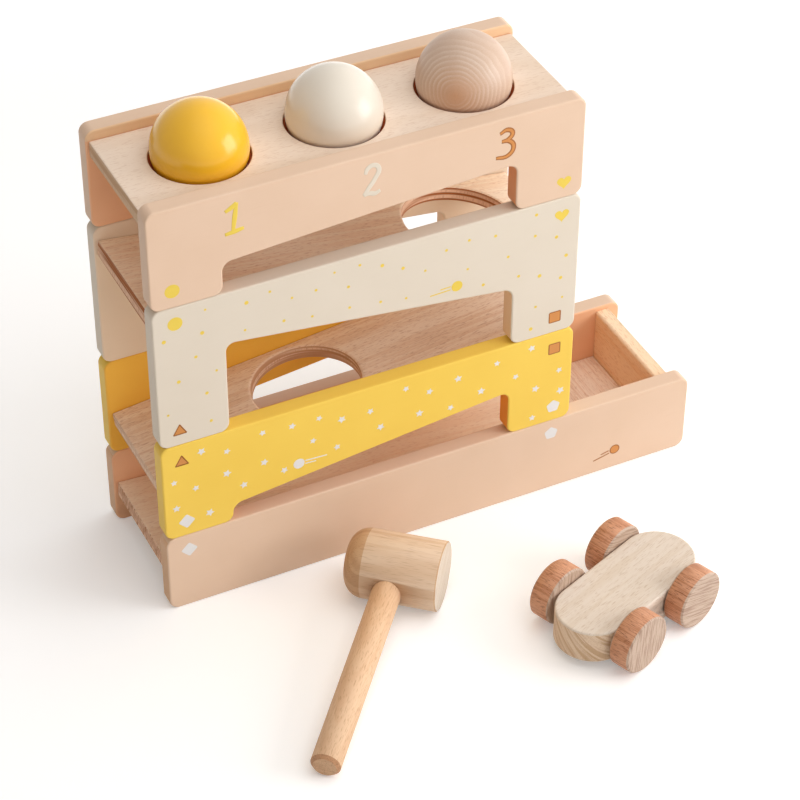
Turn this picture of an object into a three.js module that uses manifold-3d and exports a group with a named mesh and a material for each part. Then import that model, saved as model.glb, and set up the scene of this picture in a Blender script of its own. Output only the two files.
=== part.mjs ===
// Wooden ball-pounding and car ramp toy: four tiers that stack on pegs, three balls pounded through
// rubber rings in the top deck, ramps that turn them left and right into a tray, a mallet and a car.
// Millimetres, +Z up. X runs along the tower, Y from its front to its back.
import * as THREE from 'three';
import { mergeVertices } from 'three/addons/utils/BufferGeometryUtils.js';
import Module from 'manifold-3d';

const wasm = await Module();
wasm.setup();

// Boards
const SIDE_THICKNESS = 9;
const INNER_THICKNESS = 8;
const LANE_WIDTH = 62.5;
const TIER_LENGTH = 217;
const BASE_LENGTH = 286.5;
const LEG_WIDTH = 35;
const CORNER_RADIUS = 5;
const FILLET_ROOM = 0.98;
const EDGE_ROUND = 1;
const BOARD_END_RECESS = 1.5;
const GLUE_LINE = 0.1;

// Height of each tier
const BASE_HEIGHT = 44.5;
const LOWER_HEIGHT = 56;
const UPPER_HEIGHT = 79;
const TOP_HEIGHT = 53;

// Cutouts between the legs: height over the feet at mid-length, and how the upper edge rises to the right
const TOP_CUTOUT_HEIGHT = 21.3;
const TOP_CUTOUT_RISE = THREE.MathUtils.degToRad(3.75);
const UPPER_CUTOUT_HEIGHT = 42;
const LOWER_CUTOUT_HEIGHT = 18.2;

// Ramps: height of the running surface over the feet at mid-length. The upper drop hole lies under the right-hand
// ball, a little way up the slope; the lower one lies left of mid-length.
const RAMP_ANGLE = THREE.MathUtils.degToRad(6.6);
const UPPER_RAMP_HEIGHT = 60;
const LOWER_RAMP_HEIGHT = 37.4;
const UPPER_DROP_LEAD = 1.5;
const LOWER_DROP_OFFSET = 17;
const DROP_HOLE_DIAMETER = 54;

// Base: ramp down to a flat tray with a board across its end
const BASE_RAMP_START = 25.5;
const TRAY_FLOOR_TOP = 12.7;
const TRAY_JOINT_GAP = 0.3;
const END_BOARD_INSET = 6;
const END_BOARD_TOP = 42;

// Balls, the deck that holds them, and the rubber rings seated in grooves in its holes
const BALL_DIAMETER = 45;
const BALL_SPACING = 66;
const BALL_HOLE_CLEARANCE = 0.8;
const DECK_DROP = 5;
const RING_CORD_DIAMETER = 4;
const RING_GROOVE_CLEARANCE = 0.1;
const BALL_SEAT_GAP = 0.15;

// Pegs that locate a tier on the one below
const PEG_DIAMETER = 5;
const PEG_LENGTH = 16;
const PEG_STANDOUT = 7;
const PEG_CHAMFER = 0.8;
const PEG_SOCKET_CLEARANCE = 0.2;

// Glued dowels that hold the boards between the sides
const DOWEL_DIAMETER = 4;
const DOWEL_LENGTH = 14;
const DOWEL_COVER = 3;
const DOWEL_END_DISTANCE = 8;
const DOWEL_FIT = 0.1;
const HOLE_END_GAP = 0.3;

// Mallet
const HEAD_DIAMETER = 34.6;
const HEAD_LENGTH = 47.5;
const HEAD_ROUND_END = 10;
const HEAD_FLAT_END_ROUND = 1.2;
const HANDLE_DIAMETER = 14.4;
const HANDLE_LENGTH = 132;
const HANDLE_SEAT_DEPTH = 24;
const HANDLE_CHAMFER = 1.6;
const MALLET_X = 102.5;
const MALLET_IN_FRONT = 37;
const MALLET_TURN = THREE.MathUtils.degToRad(-40.7);

// Car
const CAR_LENGTH = 85.5;
const CAR_BODY_WIDTH = 36.6;
const CAR_BODY_HEIGHT = 18.2;
const CAR_GROUND_CLEARANCE = 4.6;
const WHEEL_DIAMETER = 30;
const WHEEL_WIDTH = 11.3;
const WHEEL_CHAMFER = 0.8;
const WHEEL_BASE = 41.2;
const WHEEL_SIDE_GAP = 0.5;
const WHEEL_BORE_DEPTH = 7;
const AXLE_DIAMETER = 6;
const AXLE_RUNNING_CLEARANCE = 0.08;
const CAR_X = 194.7;
const CAR_IN_FRONT = 98.6;
const CAR_TURN = THREE.MathUtils.degToRad(21.5);

// Facets of round forms
const CORNER_SEGMENTS = 2;
const PEG_SIDES = 8;
const HOLE_SIDES = 32;
const BALL_SIDES = 24;
const CORD_SIDES = 8;
const TURNED_SIDES = 24;
const AXLE_SIDES = 16;

// Levels and places that several pieces share
const TOWER_WIDTH = LANE_WIDTH + 2 * SIDE_THICKNESS;
const LANE_MIDDLE = TOWER_WIDTH / 2;
const LOWER_FOOT = BASE_HEIGHT;
const UPPER_FOOT = LOWER_FOOT + LOWER_HEIGHT;
const TOP_FOOT = UPPER_FOOT + UPPER_HEIGHT;
const DECK_TOP = TOP_FOOT + TOP_HEIGHT - DECK_DROP;
const INNER_WIDTH = LANE_WIDTH - 2 * GLUE_LINE;

const paint = (colour) => new THREE.MeshStandardMaterial({ color: colour, roughness: 0.5, metalness: 0 });
const wood = (colour) => new THREE.MeshStandardMaterial({ color: colour, roughness: 0.65, metalness: 0 });
const peachPaint = paint('#ecceb2');
const creamPaint = paint('#e6dccd');
const yellowPaint = paint('#f2ca55');
const boardWood = wood('#e2cdb4');
const palePine = wood('#ead9c0');
const dowelWood = wood('#dcc09a');
const malletWood = wood('#d9b48c');
const wheelWood = wood('#c98f6b');
const ringRubber = new THREE.MeshStandardMaterial({ color: '#4a2014', roughness: 0.8, metalness: 0 });

// A closed geometry becomes a solid for cutting, and back again
function solidOf(geometry) {
  const bare = geometry.clone();
  bare.deleteAttribute('normal');
  bare.deleteAttribute('uv');
  const merged = mergeVertices(bare, 1e-4);
  const vertProperties = new Float32Array(merged.attributes.position.array);
  const triVerts = new Uint32Array(merged.index.array);
  return new wasm.Manifold(new wasm.Mesh({ numProp: 3, vertProperties, triVerts }));
}

function cut(geometry, cutters) {
  let solid = solidOf(geometry);
  for (const cutter of cutters) {
    solid = solid.subtract(solidOf(cutter));
  }
  const mesh = solid.getMesh();
  const result = new THREE.BufferGeometry();
  result.setAttribute('position', new THREE.BufferAttribute(new Float32Array(mesh.vertProperties), 3));
  result.setIndex(new THREE.BufferAttribute(new Uint32Array(mesh.triVerts), 1));
  result.computeVertexNormals();
  return result;
}

function piece(name, geometry, material) {
  const mesh = new THREE.Mesh(geometry, material);
  mesh.name = name;
  return mesh;
}

// A polygon with its corners rounded, listed anticlockwise. A fillet is smaller than the radius only where the
// straight stretch beside it is too short for the fillets at both of its ends.
function roundedOutline(corners, radius) {
  const count = corners.length;
  const bends = corners.map((corner, i) => {
    const toBefore = corners[(i + count - 1) % count].clone().sub(corner);
    const toAfter = corners[(i + 1) % count].clone().sub(corner);
    const half = toBefore.angleTo(toAfter) / 2;
    return { corner, toBefore, toAfter, half, reach: radius / Math.tan(half) };
  });
  const room = bends.map((bend, i) => {
    const wanted = bend.reach + bends[(i + 1) % count].reach;
    return Math.min(1, FILLET_ROOM * bend.toAfter.length() / wanted);
  });
  const shape = new THREE.Shape();
  bends.forEach(({ corner, toBefore, toAfter, half, reach }, i) => {
    const fitted = reach * Math.min(room[i], room[(i + count - 1) % count]);
    const fillet = fitted * Math.tan(half);
    const inward = toBefore.clone().normalize();
    const outward = toAfter.clone().normalize();
    const centre = inward.clone().add(outward).normalize();
    centre.multiplyScalar(fillet / Math.sin(half)).add(corner);
    const start = corner.clone().addScaledVector(inward, fitted).sub(centre);
    const end = corner.clone().addScaledVector(outward, fitted).sub(centre);
    const turnsRight = inward.cross(outward) > 0;
    shape.absarc(centre.x, centre.y, fillet, start.angle(), end.angle(), turnsRight);
  });
  return shape;
}

// A board cut to an outline in XY, its thickness along +Z, its edges softened
function board(shape, thickness, curveSegments = CORNER_SEGMENTS) {
  return new THREE.ExtrudeGeometry(shape, {
    depth: thickness - 2 * EDGE_ROUND,
    bevelEnabled: true,
    bevelThickness: EDGE_ROUND,
    bevelSize: EDGE_ROUND,
    bevelOffset: -EDGE_ROUND,
    bevelSegments: 2,
    curveSegments,
  }).translate(0, 0, EDGE_ROUND);
}

// A board that stands on its edge, its outline in XZ, from Y = front to front + SIDE_THICKNESS
function standingBoard(shape, front) {
  return board(shape, SIDE_THICKNESS).rotateX(Math.PI / 2).translate(0, front + SIDE_THICKNESS, 0);
}

// A turned form about Z from a profile of [radius, height] points that starts and ends on the axis
function turned(profile, sides) {
  const points = profile.map(([radius, height]) => new THREE.Vector2(radius, height));
  return new THREE.LatheGeometry(points, sides).rotateX(Math.PI / 2);
}

function rod(diameter, length, chamfer, sides) {
  const radius = diameter / 2;
  return turned([
    [0, 0], [radius - chamfer, 0], [radius, chamfer],
    [radius, length - chamfer], [radius - chamfer, length], [0, length],
  ], sides);
}

// A drill whose flats, not its corners, lie at the diameter, so that a round rod turns freely in its hole
function drill(diameter, length, sides) {
  const radius = diameter / 2 / Math.cos(Math.PI / sides);
  return new THREE.CylinderGeometry(radius, radius, length, sides);
}

// Glued dowels along Y through both edges of a board, and the holes that they need
const dowelInSide = SIDE_THICKNESS - DOWEL_COVER;
const sideHoleDepth = dowelInSide + HOLE_END_GAP;
const boardHoleDepth = DOWEL_LENGTH - dowelInSide - GLUE_LINE + HOLE_END_GAP;
const laneFace = { front: SIDE_THICKNESS, back: TOWER_WIDTH - SIDE_THICKNESS };

function dowelPlaces(spots) {
  const places = [];
  for (const spot of spots) {
    for (const side of ['front', 'back']) {
      const inwards = side === 'front' ? 1 : -1;
      const name = ['dowel', side, spot.name].filter(Boolean).join('_');
      places.push({ ...spot, name, side, inwards, y: laneFace[side] });
    }
  }
  return places;
}

function dowelMeshes(prefix, places) {
  return places.map((place) => {
    const length = DOWEL_LENGTH;
    const middle = place.y + place.inwards * (length / 2 - dowelInSide);
    const geometry = new THREE.CylinderGeometry(DOWEL_DIAMETER / 2, DOWEL_DIAMETER / 2, length, PEG_SIDES);
    const mesh = piece(`${prefix}_${place.name}`, geometry, dowelWood);
    mesh.position.set(place.x, middle, place.z);
    return mesh;
  });
}

function dowelHolesInSide(places, side) {
  const holes = places.filter((place) => place.side === side);
  return holes.map((place) => drill(DOWEL_DIAMETER + 2 * DOWEL_FIT, 2 * sideHoleDepth, PEG_SIDES)
    .translate(place.x, place.y, place.z));
}

// Holes in a board's own frame: origin in the middle of its running surface, thickness down
function dowelHolesInBoard(alongs) {
  return alongs.flatMap((along) => [-1, 1].map((edge) => {
    const hole = drill(DOWEL_DIAMETER + 2 * DOWEL_FIT, 2 * boardHoleDepth, PEG_SIDES);
    return hole.translate(along, edge * INNER_WIDTH / 2, -INNER_THICKNESS / 2);
  }));
}

// Pegs glued into the top edge of one tier, which stand up into sockets in the feet of the next
const pegRows = { front: SIDE_THICKNESS / 2, back: TOWER_WIDTH - SIDE_THICKNESS / 2 };
const pegColumns = { left: LEG_WIDTH / 2, right: TIER_LENGTH - LEG_WIDTH / 2 };

function pegMeshes(prefix, topEdge) {
  const meshes = [];
  for (const [row, y] of Object.entries(pegRows)) {
    for (const [column, x] of Object.entries(pegColumns)) {
      const mesh = piece(`${prefix}_peg_${row}_${column}`, rod(PEG_DIAMETER, PEG_LENGTH, PEG_CHAMFER, PEG_SIDES),
        dowelWood);
      mesh.position.set(x, y, topEdge + PEG_STANDOUT - PEG_LENGTH);
      meshes.push(mesh);
    }
  }
  return meshes;
}

function pegHoles(row, level, diameter, depth) {
  return Object.values(pegColumns).map((x) => drill(diameter, 2 * depth, PEG_SIDES)
    .rotateX(Math.PI / 2)
    .translate(x, pegRows[row], level));
}

const pegHolesInTop = (row, level) => pegHoles(row, level, PEG_DIAMETER + 2 * DOWEL_FIT,
  PEG_LENGTH - PEG_STANDOUT + HOLE_END_GAP);
const pegSocketsInFeet = (row, level) => pegHoles(row, level, PEG_DIAMETER + 2 * PEG_SOCKET_CLEARANCE,
  PEG_STANDOUT + HOLE_END_GAP);

// Outline of a side with a leg at each end and a sloping cutout between them
function leggedOutline(foot, height, cutoutHeight, rise) {
  const point = (x, z) => new THREE.Vector2(x, foot + z);
  const cutoutAt = (x) => cutoutHeight + (x - TIER_LENGTH / 2) * Math.tan(rise);
  const rightLeg = TIER_LENGTH - LEG_WIDTH;
  return roundedOutline([
    point(0, 0), point(LEG_WIDTH, 0), point(LEG_WIDTH, cutoutAt(LEG_WIDTH)),
    point(rightLeg, cutoutAt(rightLeg)), point(rightLeg, 0), point(TIER_LENGTH, 0),
    point(TIER_LENGTH, height), point(0, height),
  ], CORNER_RADIUS);
}

// The two sides of a tier, drilled for the dowels of its boards and for its pegs and sockets
function sides(prefix, outline, places, holesFor, material) {
  const fronts = { front: 0, back: TOWER_WIDTH - SIDE_THICKNESS };
  return Object.entries(fronts).map(([side, front]) => {
    const cutters = [...dowelHolesInSide(places, side), ...holesFor(side)];
    return piece(`${prefix}_${side}_side`, cut(standingBoard(outline, front), cutters), material);
  });
}

// A board laid flat between the sides: origin in the middle of its upper face, thickness down
function laneBoard(length, roundHoles, alongs, otherCutters = []) {
  const half = INNER_WIDTH / 2;
  const shape = new THREE.Shape();
  shape.moveTo(-length / 2, -half).lineTo(length / 2, -half).lineTo(length / 2, half).lineTo(-length / 2, half);
  shape.closePath();
  for (const hole of roundHoles) {
    const path = new THREE.Path();
    path.absarc(hole.along, 0, hole.radius, 0, 2 * Math.PI, true);
    shape.holes.push(path);
  }
  const blank = board(shape, INNER_THICKNESS, HOLE_SIDES / 2).translate(0, 0, -INNER_THICKNESS);
  return cut(blank, [...dowelHolesInBoard(alongs), ...otherCutters]);
}

// A sloping board, its middle at mid-tower; rise is positive where it climbs to the right
function ramp(name, { middleX, surface, rise, length, drop, alongs }) {
  const holes = drop === undefined ? [] : [{ along: drop, radius: DROP_HOLE_DIAMETER / 2 }];
  const mesh = piece(name, laneBoard(length, holes, alongs), boardWood);
  mesh.position.set(middleX, LANE_MIDDLE, surface);
  mesh.rotation.y = -rise;
  return mesh;
}

// Where a point of a sloping board's middle plane lies in the tower
function inSlope({ middleX, surface, rise }, along) {
  const below = INNER_THICKNESS / 2;
  return {
    x: middleX + along * Math.cos(rise) + below * Math.sin(rise),
    z: surface + along * Math.sin(rise) - below * Math.cos(rise),
  };
}

// A tier with legs and a ramp: pegs on top carry the next tier
function rampTier(prefix, { foot, height, cutoutHeight, rampHeight, rise, dropOffset, material }) {
  const reach = TIER_LENGTH - 2 * BOARD_END_RECESS - INNER_THICKNESS * Math.sin(Math.abs(rise));
  const length = reach / Math.cos(rise);
  const middleX = TIER_LENGTH / 2;
  const end = length / 2 - DOWEL_END_DISTANCE;
  const slope = { middleX, surface: foot + rampHeight, rise, length, alongs: [-end, end] };
  slope.drop = dropOffset / Math.cos(rise);
  const places = dowelPlaces([
    { name: 'left', ...inSlope(slope, -end) },
    { name: 'right', ...inSlope(slope, end) },
  ]);
  const holesFor = (side) => [
    ...pegHolesInTop(side, foot + height),
    ...pegSocketsInFeet(side, foot),
  ];
  const outline = leggedOutline(foot, height, cutoutHeight, rise);
  return [
    ...sides(prefix, outline, places, holesFor, material),
    ramp(`${prefix}_ramp`, slope),
    ...dowelMeshes(`${prefix}_ramp`, places),
    ...pegMeshes(prefix, foot + height),
  ];
}

// Base: plain sides that run on to the right, a ramp, a tray floor and a board across the end
function baseTier() {
  const corner = (x, z) => new THREE.Vector2(x, z);
  const outline = roundedOutline([
    corner(0, 0), corner(BASE_LENGTH, 0), corner(BASE_LENGTH, BASE_HEIGHT), corner(0, BASE_HEIGHT),
  ], CORNER_RADIUS);

  const rampEnd = TIER_LENGTH - TRAY_JOINT_GAP;
  const run = rampEnd - BOARD_END_RECESS;
  const rise = -Math.atan((BASE_RAMP_START - TRAY_FLOOR_TOP) / run);
  const rampLength = (run - INNER_THICKNESS * Math.sin(-rise)) / Math.cos(rise);
  const highEnd = DOWEL_END_DISTANCE - rampLength / 2;
  const slope = {
    middleX: rampEnd - rampLength / 2 * Math.cos(rise),
    surface: TRAY_FLOOR_TOP - rampLength / 2 * Math.sin(rise),
    rise,
    length: rampLength,
    alongs: [highEnd],
  };

  const endBoardOuter = BASE_LENGTH - END_BOARD_INSET;
  const endBoardInner = endBoardOuter - INNER_THICKNESS;
  const floorStart = TIER_LENGTH;
  const floorLength = endBoardInner - GLUE_LINE - floorStart;
  const floorMiddle = floorStart + floorLength / 2;
  const floorDowel = floorLength / 2 - DOWEL_END_DISTANCE;
  const floor = piece('tray_floor', laneBoard(floorLength, [], [floorDowel]), boardWood);
  floor.position.set(floorMiddle, LANE_MIDDLE, TRAY_FLOOR_TOP);

  const endBoardBottom = TRAY_FLOOR_TOP - INNER_THICKNESS;
  const endBoardHeight = END_BOARD_TOP - endBoardBottom;
  const endBoard = piece('tray_end_board', laneBoard(endBoardHeight, [], [0]), boardWood);
  endBoard.rotation.y = -Math.PI / 2;
  endBoard.position.set(endBoardInner, LANE_MIDDLE, endBoardBottom + endBoardHeight / 2);

  const rampPlaces = dowelPlaces([inSlope(slope, highEnd)]);
  const floorPlaces = dowelPlaces([
    { x: floorMiddle + floorDowel, z: TRAY_FLOOR_TOP - INNER_THICKNESS / 2 },
  ]);
  const endPlaces = dowelPlaces([
    { x: endBoardInner + INNER_THICKNESS / 2, z: endBoardBottom + endBoardHeight / 2 },
  ]);
  const places = [...rampPlaces, ...floorPlaces, ...endPlaces];
  return [
    ...sides('base', outline, places, (side) => pegHolesInTop(side, BASE_HEIGHT), peachPaint),
    ramp('base_ramp', slope),
    floor,
    endBoard,
    ...dowelMeshes('base_ramp', rampPlaces),
    ...dowelMeshes('tray_floor', floorPlaces),
    ...dowelMeshes('tray_end', endPlaces),
    ...pegMeshes('base', BASE_HEIGHT),
  ];
}

// Top tier: a flat deck with three holes, each with a rubber ring that holds a ball until it is pounded
function topTier() {
  const ballRadius = BALL_DIAMETER / 2;
  const cordRadius = RING_CORD_DIAMETER / 2;
  const holeRadius = ballRadius + BALL_HOLE_CLEARANCE;
  const spots = { left: -BALL_SPACING, middle: 0, right: BALL_SPACING };
  const ringDepth = INNER_THICKNESS / 2;
  const torus = (radius) => new THREE.TorusGeometry(holeRadius, radius, CORD_SIDES, HOLE_SIDES);

  const deckLength = TIER_LENGTH - 2 * BOARD_END_RECESS;
  const middleX = TIER_LENGTH / 2;
  const end = deckLength / 2 - DOWEL_END_DISTANCE;
  const grooves = Object.values(spots).map((along) => torus(cordRadius + RING_GROOVE_CLEARANCE)
    .translate(along, 0, -ringDepth));
  const holes = Object.values(spots).map((along) => ({ along, radius: holeRadius }));
  const deck = piece('ball_deck', laneBoard(deckLength, holes, [-end, end], grooves), boardWood);
  deck.position.set(middleX, LANE_MIDDLE, DECK_TOP);

  const level = DECK_TOP - INNER_THICKNESS / 2;
  const places = dowelPlaces([
    { name: 'left', x: middleX - end, z: level },
    { name: 'right', x: middleX + end, z: level },
  ]);
  const outline = leggedOutline(TOP_FOOT, TOP_HEIGHT, TOP_CUTOUT_HEIGHT, TOP_CUTOUT_RISE);

  // the ball rests where its sphere meets the cord's round section
  const seatDistance = ballRadius + cordRadius + BALL_SEAT_GAP;
  const ballHeight = DECK_TOP - ringDepth + Math.sqrt(seatDistance ** 2 - holeRadius ** 2);
  const ballFinish = { left: paint('#eebd3f'), middle: paint('#efe3d2'), right: palePine };
  const ballName = { left: 'yellow_ball', middle: 'white_ball', right: 'natural_ball' };
  const rings = [];
  const balls = [];
  for (const [spot, along] of Object.entries(spots)) {
    const ring = piece(`ball_ring_${spot}`, torus(cordRadius), ringRubber);
    ring.position.set(middleX + along, LANE_MIDDLE, DECK_TOP - ringDepth);
    rings.push(ring);
    const sphere = new THREE.SphereGeometry(ballRadius, BALL_SIDES, BALL_SIDES * 2 / 3);
    const ball = piece(ballName[spot], sphere.rotateX(Math.PI / 2), ballFinish[spot]);
    ball.position.set(middleX + along, LANE_MIDDLE, ballHeight);
    balls.push(ball);
  }
  return [
    ...sides('top', outline, places, (side) => pegSocketsInFeet(side, TOP_FOOT), peachPaint),
    deck,
    ...rings,
    ...dowelMeshes('ball_deck', places),
    ...balls,
  ];
}

// Mallet: a turned head with one end well rounded, and a dowel handle glued into a blind hole.
// It lies on its head and on the end of its handle.
function mallet() {
  const headRadius = HEAD_DIAMETER / 2;
  const handleRadius = HANDLE_DIAMETER / 2;
  const arc = (count, at) => Array.from({ length: count + 1 }, (_, i) => at(i / count * Math.PI / 2));
  const profile = [
    [0, 0],
    ...arc(5, (a) => [
      headRadius - HEAD_ROUND_END * (1 - Math.sin(a)),
      HEAD_ROUND_END * (1 - Math.cos(a)),
    ]),
    ...arc(2, (a) => [
      headRadius - HEAD_FLAT_END_ROUND * (1 - Math.cos(a)),
      HEAD_LENGTH - HEAD_FLAT_END_ROUND * (1 - Math.sin(a)),
    ]),
    [0, HEAD_LENGTH],
  ];
  const blank = turned(profile, TURNED_SIDES).translate(0, 0, -HEAD_LENGTH / 2).rotateY(Math.PI / 2);
  const seat = headRadius - HANDLE_SEAT_DEPTH;
  const boreLength = HANDLE_SEAT_DEPTH + HOLE_END_GAP + headRadius;
  const bore = drill(HANDLE_DIAMETER + 2 * DOWEL_FIT, boreLength, TURNED_SIDES)
    .translate(0, -seat + HOLE_END_GAP - boreLength / 2, 0);
  const head = piece('mallet_head', cut(blank, [bore]), malletWood);

  const stick = rod(HANDLE_DIAMETER, HANDLE_LENGTH, HANDLE_CHAMFER, TURNED_SIDES);
  const handle = piece('mallet_handle', stick.rotateX(Math.PI / 2).translate(0, -seat, 0), malletWood);

  // the handle drops until its lower edge, just before the end chamfer, meets the floor with the head
  const reach = seat + HANDLE_LENGTH - HANDLE_CHAMFER;
  const span = Math.hypot(reach, handleRadius);
  const tilt = Math.asin(headRadius / span) - Math.atan2(handleRadius, reach);
  const tilted = new THREE.Group().add(head, handle);
  tilted.rotation.x = tilt;
  const lying = new THREE.Group().add(tilted);
  lying.rotation.z = MALLET_TURN;
  lying.position.set(MALLET_X, -MALLET_IN_FRONT, headRadius);
  return lying;
}

// Car: a slab with round ends, two axles through it, and a wheel pressed on each axle end
function car() {
  const wheelRadius = WHEEL_DIAMETER / 2;
  const axleY = CAR_BODY_WIDTH / 2 + WHEEL_SIDE_GAP;
  const endX = (CAR_LENGTH - CAR_BODY_WIDTH) / 2;
  const shape = new THREE.Shape();
  shape.absarc(endX, 0, CAR_BODY_WIDTH / 2, -Math.PI / 2, Math.PI / 2, false);
  shape.absarc(-endX, 0, CAR_BODY_WIDTH / 2, Math.PI / 2, Math.PI * 1.5, false);
  const blank = board(shape, CAR_BODY_HEIGHT, TURNED_SIDES / 4).translate(0, 0, CAR_GROUND_CLEARANCE);
  const axleX = { front: -WHEEL_BASE / 2, rear: WHEEL_BASE / 2 };
  const boreDiameter = AXLE_DIAMETER + 2 * AXLE_RUNNING_CLEARANCE;
  const bores = Object.values(axleX).map((x) => drill(boreDiameter, 2 * CAR_BODY_WIDTH, AXLE_SIDES)
    .translate(x, 0, wheelRadius));
  const group = new THREE.Group().add(piece('car_body', cut(blank, bores), palePine));

  const wheelBore = drill(AXLE_DIAMETER + 2 * DOWEL_FIT, 2 * WHEEL_BORE_DEPTH, AXLE_SIDES).rotateX(Math.PI / 2);
  const wheelBlank = rod(WHEEL_DIAMETER, WHEEL_WIDTH, WHEEL_CHAMFER, TURNED_SIDES);
  const wheelShape = cut(wheelBlank, [wheelBore]);
  const axleLength = 2 * (axleY + WHEEL_BORE_DEPTH - HOLE_END_GAP);
  for (const [end, x] of Object.entries(axleX)) {
    const axleShape = new THREE.CylinderGeometry(AXLE_DIAMETER / 2, AXLE_DIAMETER / 2, axleLength, AXLE_SIDES);
    const axle = piece(`car_${end}_axle`, axleShape, dowelWood);
    axle.position.set(x, 0, wheelRadius);
    group.add(axle);
    for (const [side, outwards] of [['right', -1], ['left', 1]]) {
      const wheel = piece(`car_${end}_${side}_wheel`, wheelShape, wheelWood);
      wheel.position.set(x, outwards * axleY, wheelRadius);
      wheel.rotation.x = -outwards * Math.PI / 2;
      group.add(wheel);
    }
  }
  group.rotation.z = CAR_TURN;
  group.position.set(CAR_X, -CAR_IN_FRONT, 0);
  return group;
}

const set = new THREE.Group();
set.add(...baseTier());
set.add(...rampTier('lower', {
  foot: LOWER_FOOT,
  height: LOWER_HEIGHT,
  cutoutHeight: LOWER_CUTOUT_HEIGHT,
  rampHeight: LOWER_RAMP_HEIGHT,
  rise: RAMP_ANGLE,
  dropOffset: -LOWER_DROP_OFFSET,
  material: yellowPaint,
}));
set.add(...rampTier('upper', {
  foot: UPPER_FOOT,
  height: UPPER_HEIGHT,
  cutoutHeight: UPPER_CUTOUT_HEIGHT,
  rampHeight: UPPER_RAMP_HEIGHT,
  rise: -RAMP_ANGLE,
  dropOffset: BALL_SPACING - UPPER_DROP_LEAD,
  material: creamPaint,
}));
set.add(...topTier(), mallet(), car());

// The origin is in the middle of the whole set's footprint, on the floor
const extent = new THREE.Box3().setFromObject(set, true);
const footprint = extent.getCenter(new THREE.Vector3());
set.position.set(-footprint.x, -footprint.y, -extent.min.z);

export default set;
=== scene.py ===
import math
import random

import bmesh
import bpy
from mathutils import Matrix, Vector


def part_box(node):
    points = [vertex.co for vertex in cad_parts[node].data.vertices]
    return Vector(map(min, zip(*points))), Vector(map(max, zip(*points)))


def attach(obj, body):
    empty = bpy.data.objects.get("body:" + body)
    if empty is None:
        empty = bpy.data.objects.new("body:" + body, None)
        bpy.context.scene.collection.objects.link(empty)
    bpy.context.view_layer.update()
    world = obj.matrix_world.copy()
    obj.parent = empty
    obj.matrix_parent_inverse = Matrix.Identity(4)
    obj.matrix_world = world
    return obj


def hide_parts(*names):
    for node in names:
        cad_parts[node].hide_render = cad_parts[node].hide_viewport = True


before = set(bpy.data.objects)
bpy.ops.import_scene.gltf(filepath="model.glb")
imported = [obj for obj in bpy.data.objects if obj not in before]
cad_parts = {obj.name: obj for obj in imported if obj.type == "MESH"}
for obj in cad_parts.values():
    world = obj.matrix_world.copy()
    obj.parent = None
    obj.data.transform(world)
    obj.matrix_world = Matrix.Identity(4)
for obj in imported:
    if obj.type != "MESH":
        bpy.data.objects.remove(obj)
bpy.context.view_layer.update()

# Base sides
# Two beech boards on edge that carry the tower. Their outline is sawn, every arris is rounded over with a
# small cutter, and they are sprayed with a thin matt peach paint that lets a little of the grain through. The
# inner faces and both ends take warmer, deeper copies of the peach: painted shade, for the warm shade inside
# the tower and near the floor.
MM = 0.001
CORNER_ROUND = 5 * MM
ARRIS_ROUND = 0.9 * MM
SQUARE_ANGLE = math.radians(60)
DRILL_CLEARANCE = 0.1 * MM
Z_TO_FRONT = Matrix.Rotation(math.pi / 2, 4, "X")
IN_COLOUR = {"data_type": "RGBA"}
# A mapping of this kind divides by its scale, so that the scale is the pattern's real size.
BY_SIZE = {"vector_type": "TEXTURE"}
rod_boxes = {name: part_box(name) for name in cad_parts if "_peg_" in name or "_dowel_" in name}


def linear(hex_colour):
    """Turns an sRGB hex colour into the linear RGBA of a shader socket."""
    channels = [int(hex_colour[i:i + 2], 16) / 255 for i in (1, 3, 5)]
    return [c / 12.92 if c <= 0.04045 else ((c + 0.055) / 1.055) ** 2.4 for c in channels] + [1]


def add(tree, kind, settings=None, inputs=None):
    """Adds a shader node with its settings. A node given for an input is linked by its first output in use, a
    socket is linked, and a value is set."""
    new = tree.nodes.new("ShaderNode" + kind)
    for name, value in (settings or {}).items():
        setattr(new, name, value)
    for name, value in (inputs or {}).items():
        if isinstance(value, bpy.types.Node):
            value = next(output for output in value.outputs if output.enabled)
        if isinstance(value, bpy.types.NodeSocket):
            tree.links.new(value, new.inputs[name])
        else:
            new.inputs[name].default_value = value
    return new


def blank_material(name):
    """A material with no nodes yet, and its tree."""
    material = bpy.data.materials.new(name)
    material.use_nodes = True
    material.node_tree.nodes.clear()
    return material, material.node_tree


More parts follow.
